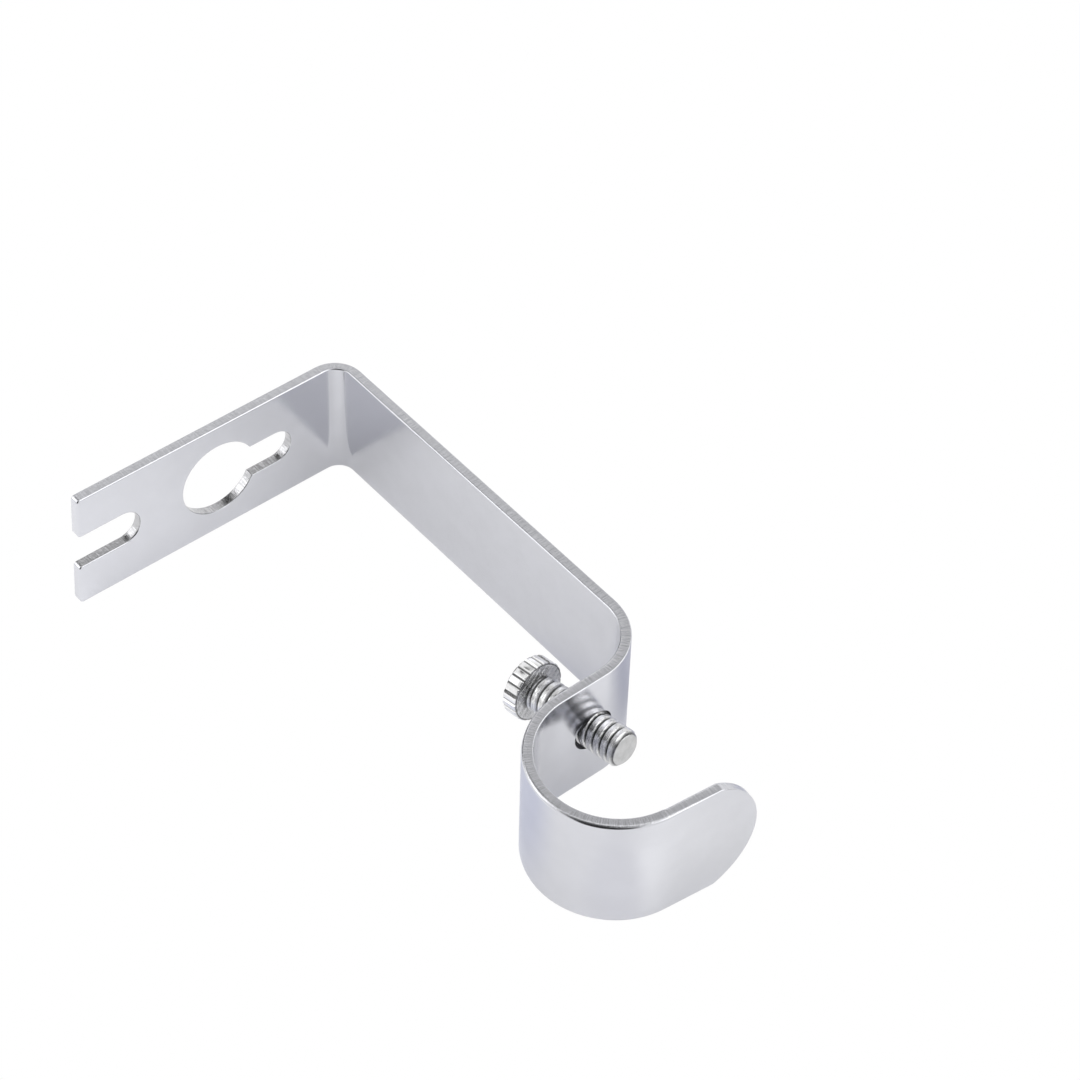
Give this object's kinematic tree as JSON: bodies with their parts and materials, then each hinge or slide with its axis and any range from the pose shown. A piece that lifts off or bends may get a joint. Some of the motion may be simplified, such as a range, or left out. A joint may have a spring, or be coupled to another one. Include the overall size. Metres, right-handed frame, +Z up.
{
  "type": "curtain rod bracket",
  "caption": "Bent steel strip bracket that hangs on a wall screw by a keyhole and holds a curtain rod in an open cup, with a knurled thumbscrew to lock the rod.",
  "frame": {"origin": "on the wall plane, where the wall screw's shank seats in the round end of the keyhole's neck", "axes": "+Y into the wall, so the bracket stands out towards -Y; +Z up, with the arm on top and the plate hanging down; X across the strip, with the middle of the strip at X = 0"},
  "size_m": [0.02, 0.0964, 0.0484],
  "materials": {
    "plated_strip": "polished",
    "plated_screw": "bright, slightly dulled"
  },
  "bodies": {
    "strip": {"bracket_strip": "plated_strip"},
    "screw": {"thumbscrew": "plated_screw"}
  },
  "joints": [
    {"name": "screw_travel", "type": "slide", "parent": "strip", "child": "screw", "axis": [-0.1045, -0.9891, 0.104], "range_m": [-0.005, 0.0076]}
  ]
}
